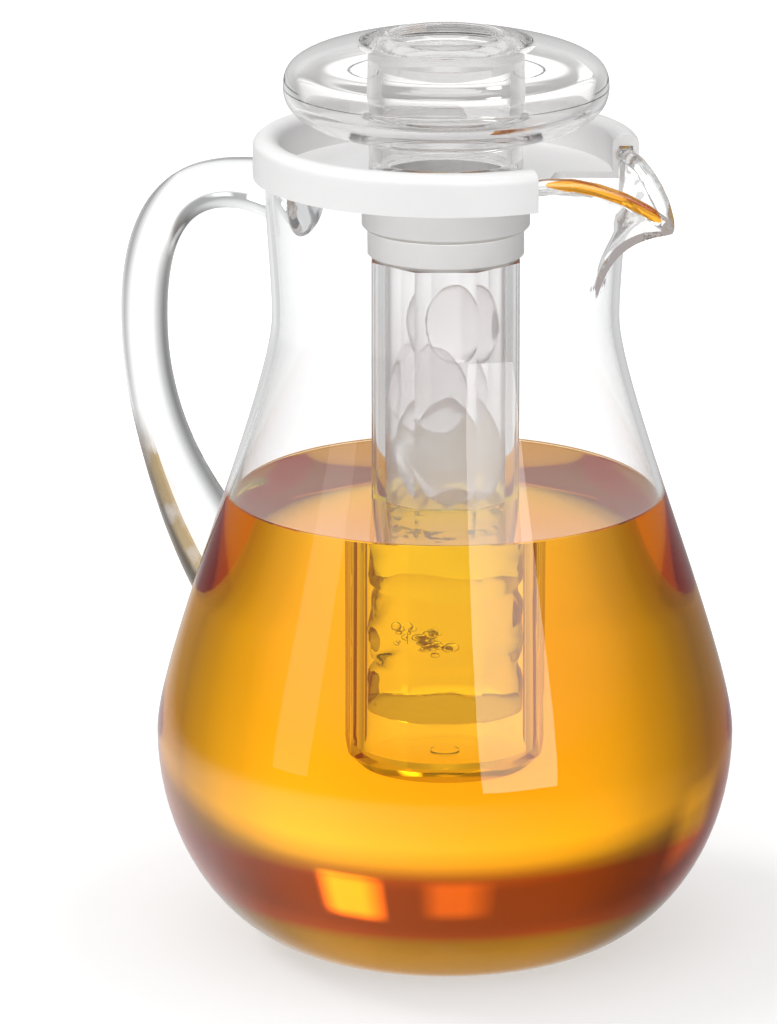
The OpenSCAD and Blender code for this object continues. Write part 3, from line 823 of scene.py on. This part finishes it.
def drink_top_mesh():
    """The drink's free surface, a flat ring with a small meniscus at the wall."""
    sides, verts, faces = 192, [], []
    inner = radius_at(INNER, DRINK_Z)
    for r, z in ((inner + 0.8, DRINK_Z + 0.9), (inner - 0.4, DRINK_Z + 0.3), (inner - 1.8, DRINK_Z)):
        verts += circle(r, z, sides)
    verts += octagon(POCKET_FLAT, DRINK_Z, sides // 8)
    shift = int(round(CORNER_TURN / 360 * sides))
    for k in range(3):
        ring, turn = ring_ids(k, sides), shift if k == 2 else 0
        bridge(faces, ring[turn:] + ring[:turn], ring_ids(k + 1, sides))
    return skin_mesh("drink_top", verts, faces)


def skin_mesh(name, verts, faces):
    """Open surface in metres that keeps the side its faces were given."""
    mesh = bpy.data.meshes.new(name)
    mesh.from_pydata([tuple(c * MM for c in v) for v in verts], [], faces)
    bm = bmesh.new()
    bm.from_mesh(mesh)
    for f in bm.faces:
        f.smooth = True
    for e in bm.edges:
        e.smooth = len(e.link_faces) != 2 or e.calc_face_angle(0.0) < math.radians(30)
    bm.to_mesh(mesh)
    bm.free()
    return mesh


WELL_LEVELS = [(DRINK_Z, 0.0)]
WELL_LEVELS += [(POCKET_Z + 4 + (DRINK_Z - POCKET_Z - 4) * k / 12, 0.0) for k in range(11, -1, -1)]
WELL_LEVELS += [(POCKET_Z + 2.4, 0.8), (POCKET_Z, 3.2)]
drink = add_object("drink", drink_body_mesh(), "jug")
drink.data.materials.append(DRINK)
drink_top = add_object("drink_top", drink_top_mesh(), "jug")
drink_top.data.materials.append(DRINK_SKIN)


def lip_film_mesh():
    """Drink left in the lip on the camera's side: a bar inside the clear bead."""
    verts, faces, sides, steps = [], [], 14, 30
    for k in range(steps + 1):
        theta = -26.5 + 25.0 * k / steps
        rc, zc, _, skew = lip_centre(theta)
        a = math.radians(theta)
        size = 1.55 * math.sin(math.pi * min(0.5, 0.08 + 0.9 * k / steps)) * (1 if k < steps else 0.3)
        size *= 0.35 if k == 0 else 1
        for i in range(sides):
            t = 2 * math.pi * i / sides
            r = rc + size * skew * math.cos(t)
            verts.append((r * math.cos(a), r * math.sin(a), zc + 0.1 + size * math.sin(t)))
    for k in range(steps):
        bridge(faces, ring_ids(k, sides), ring_ids(k + 1, sides))
    faces.append(tuple(reversed(range(sides))))
    faces.append(tuple(steps * sides + i for i in range(sides)))
    return finish_mesh("lip_film", verts, faces, 60)


lip_film = add_object("lip_film", lip_film_mesh(), "jug")
lip_film.data.materials.append(LIP_DRINK)


# Ice: rounded lumps stacked in the tube
def ice_lump(name, centre, size, turn, roundness, seed):
    bm = bmesh.new()
    bmesh.ops.create_cube(bm, size=1.0)
    bmesh.ops.subdivide_edges(bm, edges=bm.edges[:], cuts=7, use_grid_fill=True)
    rng = random.Random(seed)
    waves = []
    for _ in range(5):
        frequency, phase = rng.uniform(2, 5), rng.uniform(0, 6.28)
        waves.append((frequency, phase, Vector([rng.uniform(-1, 1) for _ in range(3)]).normalized()))
    for v in bm.verts:
        p = v.co * 2
        ball = p.normalized() * 1.12
        v.co = p.lerp(ball, roundness)
        d = sum(math.sin(f * v.co.dot(n) + ph) for f, ph, n in waves) * 0.025
        v.co *= 1 + d
        v.co.x *= size[0] / 2
        v.co.y *= size[1] / 2
        v.co.z *= size[2] / 2
    bmesh.ops.rotate(bm, verts=bm.verts, cent=(0, 0, 0), matrix=rotation(Vector(turn)))
    bmesh.ops.translate(bm, verts=bm.verts, vec=centre)
    bmesh.ops.scale(bm, verts=bm.verts, vec=(MM, MM, MM))
    for f in bm.faces:
        f.smooth = True
    mesh = bpy.data.meshes.new(name)
    bm.to_mesh(mesh)
    bm.free()
    obj = add_object(name, mesh, "core")
    obj.data.materials.append(ICE)
    return obj


def rotation(angles):
    return Euler([math.radians(a) for a in angles]).to_matrix()


ICE_LUMPS = [
    ((4.5, 2, 207), (24, 23, 23), (20, 10, 40), 0.95),
    ((-3.5, -3, 185), (27, 27, 23), (50, 20, 10), 0.85),
    ((2, 0, 164), (33, 33, 23), (20, 40, 15), 0.75)
]
for number, (centre, size, turn, roundness) in enumerate(ICE_LUMPS):
    ice_lump(f"ice_lump_{number + 1}", centre, size, turn, roundness, 40 + number)


def ice_block_mesh():
    """Ice lumps frozen together in the meltwater: a wavy bar with a notch at each joint."""
    sides, verts, rings, faces = 72, [], [], []
    levels = [(76.0, 15.0), (76.3, 18.5), (77.2, 20.3)]
    levels += [(79 + 2.0 * k, 20.6) for k in range(34)] + [(147.0, 19.6), (150.0, 17.0), (151.0, 12.0)]
    for z, base in levels:
        ids = []
        wavy = min(max((z - 77) / 3, 0), 1)
        for i in range(sides):
            a = 2 * math.pi * i / sides
            notch = 2.4 * max(0.0, math.cos((z - 92) / 25.0 * 2 * math.pi)) ** 8
            wave = 0.6 * math.sin(3 * a + z / 6) + 0.4 * math.sin(5 * a - z / 4 + 1)
            wave += 0.5 * math.sin(z / 5 + 2 * a)
            r = base - (abs(wave) + notch) * wavy
            ids.append(len(verts))
            verts.append((r * math.cos(a), r * math.sin(a), z))
        rings.append(ids)
    for a, b in zip(rings[:-1], rings[1:]):
        bridge(faces, a, b)
    faces += [tuple(reversed(rings[0])), tuple(rings[-1])]
    return finish_mesh("ice_block", verts, faces, 50)


def melt_top_mesh():
    """The meltwater's free surface, a disc with a small meniscus."""
    sides, verts, faces = 96, [], []
    for r, z in ((BORE_R - 0.05, MELT_Z + 0.5), (BORE_R - 0.6, MELT_Z + 0.1), (BORE_R - 1.6, MELT_Z - 0.05)):
        verts += circle(r, z, sides)
    for k in range(2):
        bridge(faces, ring_ids(k, sides), ring_ids(k + 1, sides))
    faces.append(tuple(2 * sides + i for i in range(sides)))
    return skin_mesh("melt_water", verts, faces)


melt = add_object("melt_water", melt_top_mesh(), "core")
melt.data.materials.append(MELT)
frost = add_object("frost_film", lathe("frost_film", [
    (BORE_R - 0.15, MELT_Z + 1), (BORE_R - 0.15, 236.0), (BORE_R - 0.35, 236.0), (BORE_R - 0.35, MELT_Z + 1)
], 96, 30), "core")
frost.data.materials.append(FROST)
ice_block = add_object("ice_block", ice_block_mesh(), "core")
ice_block.data.materials.append(ICE_BLOCK)


def bubble_mesh():
    """A cluster of small air bubbles and cracks in the block."""
    rng = random.Random(7)
    verts, faces = [], []
    for _ in range(26):
        r = rng.uniform(0.5, 1.5)
        turn = rng.uniform(0, 6.28)
        out = rng.uniform(1, 8)
        cx, cy, cz = out * math.cos(turn) - 1, out * math.sin(turn) - 8, 101 + rng.uniform(-4, 4)
        base = len(verts)
        verts.append((cx, cy, cz + r))
        for k in range(1, 6):
            for i in range(10):
                t, a = math.pi * k / 6, 2 * math.pi * i / 10
                x, y = 1.6 * r * math.sin(t) * math.cos(a), r * math.sin(t) * math.sin(a)
                verts.append((cx + x, cy + y, cz + r * math.cos(t)))
        verts.append((cx, cy, cz - r))
        for i in range(10):
            j = (i + 1) % 10
            faces.append((base, base + 1 + i, base + 1 + j))
            faces.append((base + 51, base + 41 + j, base + 41 + i))
            for k in range(4):
                a, b = base + 1 + 10 * k, base + 11 + 10 * k
                faces.append((a + i, b + i, b + j, a + j))
    return finish_mesh("ice_bubbles", verts, faces, 60)


BUBBLE = ice_material("air_bubbles", 1.0, 0.86, 0.0, 0.1)
bubbles = add_object("ice_bubbles", bubble_mesh(), "core")
bubbles.data.materials.append(BUBBLE)

# Floor, world and lamps
VIEW = Vector((-math.sin(CAM_AZIMUTH), math.cos(CAM_AZIMUTH), 0))
SIDE = Vector((math.cos(CAM_AZIMUTH), math.sin(CAM_AZIMUTH), 0))


def curve_of(tree, source, points):
    """Value along straight lines between points; the source runs from -1 to 1."""
    ramp = tree.nodes.new("ShaderNodeValToRGB")
    elements = ramp.color_ramp.elements
    while len(elements) < len(points):
        elements.new(0.5)
    for element, (x, y) in zip(elements, points):
        element.position = (x + 1) / 2
        element.color = (y, y, y, 1)
    link(tree, calc(tree, "MULTIPLY_ADD", source, 0.5, 0.5), ramp.inputs["Fac"])
    return ramp.outputs["Color"]


def blend(tree, share, a, b):
    """The value a where the share is 0 and b where it is 1."""
    return calc(tree, "MULTIPLY_ADD", share, calc(tree, "SUBTRACT", b, a), a)


def first_bounces(tree):
    """1 for rays that glass or gloss sent on and no diffuse surface has met."""
    path = tree.nodes.new("ShaderNodeLightPath")
    either = calc(tree, "MAXIMUM", path.outputs["Is Glossy Ray"], path.outputs["Is Transmission Ray"])
    clean = calc(tree, "LESS_THAN", path.outputs["Diffuse Depth"], 0.5)
    return path, calc(tree, "MULTIPLY", either, clean)


def make_floor():
    """A white floor; rays from glass and gloss pass it and read the world's lower half. For camera rays it
    glows, little near the jug and more far from it: painted light, with painted shade round the jug.
    """
    mesh = bpy.data.meshes.new("studio_floor")
    corners = [
        -0.9 * SIDE - 0.6 * VIEW, 0.9 * SIDE - 0.6 * VIEW, 0.9 * SIDE + 1.8 * VIEW, -0.9 * SIDE + 1.8 * VIEW
    ]
    mesh.from_pydata([tuple(c) for c in corners], [], [(0, 1, 2, 3)])
    floor = bpy.data.objects.new("studio_floor", mesh)
    bpy.context.scene.collection.objects.link(floor)
    floor.location.z = -0.0003
    mat, tree, shader = new_material("studio_floor_paper")
    shader.inputs["Base Color"].default_value = (0.95, 0.95, 0.95, 1)
    shader.inputs["Roughness"].default_value = 0.9
    shader.inputs["Specular IOR Level"].default_value = 0.0
    path, seen = first_bounces(tree)
    shader.inputs["Emission Color"].default_value = (1, 1, 1, 1)
    # Painted light: for camera rays the floor glows by distance from the jug's axis, weakest near the jug,
    # which leaves painted shade round it
    reach = tree.nodes.new("ShaderNodeVectorMath")
    reach.operation = "LENGTH"
    link(tree, object_coords(tree), reach.inputs[0])
    glow = tree.nodes.new("ShaderNodeMapRange")
    glow.inputs["From Min"].default_value = 0.12
    glow.inputs["From Max"].default_value = 0.4
    glow.inputs["To Min"].default_value = 0.08
    glow.inputs["To Max"].default_value = 0.6
    link(tree, reach.outputs["Value"], glow.inputs["Value"])
    seen_glow = calc(tree, "MULTIPLY", path.outputs["Is Camera Ray"], glow.outputs["Result"])
    link(tree, seen_glow, shader.inputs["Emission Strength"])
    through = tree.nodes.new("ShaderNodeBsdfTransparent")
    mix = tree.nodes.new("ShaderNodeMixShader")
    link(tree, seen, mix.inputs["Fac"])
    link(tree, shader.outputs["BSDF"], mix.inputs[1])
    link(tree, through.outputs["BSDF"], mix.inputs[2])
    link(tree, mix.outputs["Shader"], tree.nodes["Material Output"].inputs["Surface"])
    mesh.materials.append(mat)


# Bright patches of the room: ramps over the side and the height of a direction, and a strength
WINDOWS = [
    ([(0.11, 0), (0.16, 1), (0.22, 1), (0.26, 0)], [(0.03, 0), (0.06, 1), (0.16, 1), (0.2, 0)], 5.0),
    ([(-0.1, 0), (-0.04, 1), (0.01, 1), (0.05, 0)], [(0.03, 0), (0.06, 1), (0.14, 1), (0.18, 0)], 0.8),
    ([(-0.8, 0), (-0.72, 1), (-0.62, 1), (-0.54, 0)], [(-0.08, 0), (0, 1), (0.14, 1), (0.24, 0)], 0.45)
]


def make_world():
    """White for the camera; through glass, a bright floor up to the horizon and a dim room."""
    world = bpy.data.worlds.new("studio")
    bpy.context.scene.world = world
    world.use_nodes = True
    tree = world.node_tree
    tree.nodes.clear()
    coords = tree.nodes.new("ShaderNodeTexCoord")

    def along(direction):
        dot = tree.nodes.new("ShaderNodeVectorMath")
        dot.operation = "DOT_PRODUCT"
        dot.inputs[1].default_value = direction
        link(tree, coords.outputs["Generated"], dot.inputs[0])
        return dot.outputs["Value"]

    ahead, side, rise = along(tuple(VIEW)), along(tuple(SIDE)), along((0, 0, 1))
    squares = [calc(tree, "MULTIPLY", part, part) for part in (ahead, side)]
    level = calc(tree, "SQRT", calc(tree, "ADD", *squares))
    bearing = calc(tree, "DIVIDE", ahead, calc(tree, "MAXIMUM", level, 0.001))
    spread = curve_of(tree, bearing, [
        (-1, 0.6), (0.3, 0.55), (0.5, 0.36), (0.707, 0.27),
        (0.819, 0.42), (0.906, 0.67), (0.951, 0.92), (0.975, 1)
    ])
    height = curve_of(tree, rise, [
        (-1, 0.95), (-0.5, 1.15), (-0.34, 1.15), (-0.17, 1.3), (-0.05, 1.6), (-0.005, 1.15),
        (0.03, 0.6), (0.07, 0.4), (0.22, 0.42), (0.34, 0.75), (0.6, 1), (1, 1)
    ])
    lean = calc(tree, "ADD", calc(tree, "MULTIPLY", side, 0.5), 1.04)
    through = calc(tree, "MULTIPLY", calc(tree, "MULTIPLY", spread, height), lean)
    for across, up, strength in WINDOWS:
        window = calc(tree, "MULTIPLY", curve_of(tree, side, across), curve_of(tree, rise, up))
        through = calc(tree, "MULTIPLY_ADD", window, strength, through)
    low_left = calc(tree, "MAXIMUM", calc(tree, "MULTIPLY_ADD", side, -0.7, 0.65), 0.15)
    low_left = calc(tree, "MINIMUM", low_left, 1.1)
    below = calc(tree, "MULTIPLY", low_left, curve_of(tree, rise, [
        (-1, 0.4), (-0.75, 0.45), (-0.55, 1), (-0.3, 1), (-0.2, 0.75), (-0.12, 0.15), (-0.06, 0.05), (0, 0)
    ]))
    above = curve_of(tree, rise, [(0.1, 0), (0.25, 0.5), (0.6, 0.8), (1, 0.9)])
    grazing = curve_of(tree, bearing, [(-1, 0.08), (0.2, 0.08), (0.5, 0.12), (0.8, 0.22), (1, 0.35)])
    mirror = calc(tree, "MAXIMUM", calc(tree, "ADD", below, above), grazing)
    inner = calc(tree, "MULTIPLY_ADD", spread, 0.45, 0.42)
    path, seen = first_bounces(tree)
    bounced = calc(tree, "GREATER_THAN", path.outputs["Glossy Depth"], 0.5)
    outside = calc(tree, "LESS_THAN", path.outputs["Transmission Depth"], 0.5)
    glass = blend(tree, bounced, through, blend(tree, outside, inner, mirror))
    soft = calc(tree, "MULTIPLY", calc(tree, "SUBTRACT", 1.0, seen), 0.38)
    other = calc(tree, "ADD", calc(tree, "MULTIPLY", seen, glass), soft)
    camera = path.outputs["Is Camera Ray"]
    strength = calc(tree, "ADD", camera, calc(tree, "MULTIPLY", calc(tree, "SUBTRACT", 1.0, camera), other))
    shade = tree.nodes.new("ShaderNodeBackground")
    out = tree.nodes.new("ShaderNodeOutputWorld")
    shade.inputs["Color"].default_value = (1, 1, 1, 1)
    link(tree, strength, shade.inputs["Strength"])
    link(tree, shade.outputs["Background"], out.inputs["Surface"])


def add_lamp(name, azimuth, distance, height, width, tall, power, mirrored=False, shadow=True):
    """An area lamp; azimuth is measured to the right of the camera, in degrees."""
    light = bpy.data.lights.new(name, "AREA")
    light.shape = "RECTANGLE"
    light.size, light.size_y = width, tall
    light.energy = power
    light.use_shadow = shadow
    obj = bpy.data.objects.new(name, light)
    bpy.context.scene.collection.objects.link(obj)
    a = CAM_AZIMUTH + math.radians(azimuth)
    obj.location = (distance * math.sin(a), -distance * math.cos(a), height)
    aim = Vector((0, 0, 0.14)) - obj.location
    obj.rotation_euler = aim.to_track_quat("-Z", "Y").to_euler()
    obj.visible_diffuse = not mirrored
    obj.visible_glossy = mirrored
    obj.visible_transmission = False


make_floor()
make_world()
add_lamp("card_right", 29, 1.5, 0.75, 0.92, 1.5, 18, mirrored=True)
add_lamp("card_left", -62, 1.6, 0.7, 0.5, 1.3, 2, mirrored=True)
add_lamp("key_left", -105, 1.5, 1.3, 0.6, 0.6, 6)
add_lamp("fill", -12, 1.8, 1.5, 1.4, 1.4, 26, shadow=False)
add_lamp("top", 0, 0.05, 2.2, 1.4, 1.4, 14, shadow=False)

# Camera
camera_data = bpy.data.cameras.new("camera")
camera_data.sensor_width = SENSOR_MM
camera_data.sensor_fit = "HORIZONTAL"
camera_data.lens = CAM_LENS
camera_data.clip_end = 50
camera = bpy.data.objects.new("camera", camera_data)
bpy.context.scene.collection.objects.link(camera)
camera.location = (
    CAM_DISTANCE * math.sin(CAM_AZIMUTH), -CAM_DISTANCE * math.cos(CAM_AZIMUTH), CAM_HEIGHT
)
camera.rotation_euler = (math.pi / 2 - CAM_PITCH, 0, CAM_AZIMUTH + CAM_YAW)
bpy.context.scene.camera = camera

scene = bpy.context.scene
scene.view_settings.view_transform = "Standard"
scene.cycles.max_bounces = 48
scene.cycles.transmission_bounces = 40
scene.cycles.glossy_bounces = 24
scene.cycles.transparent_max_bounces = 16
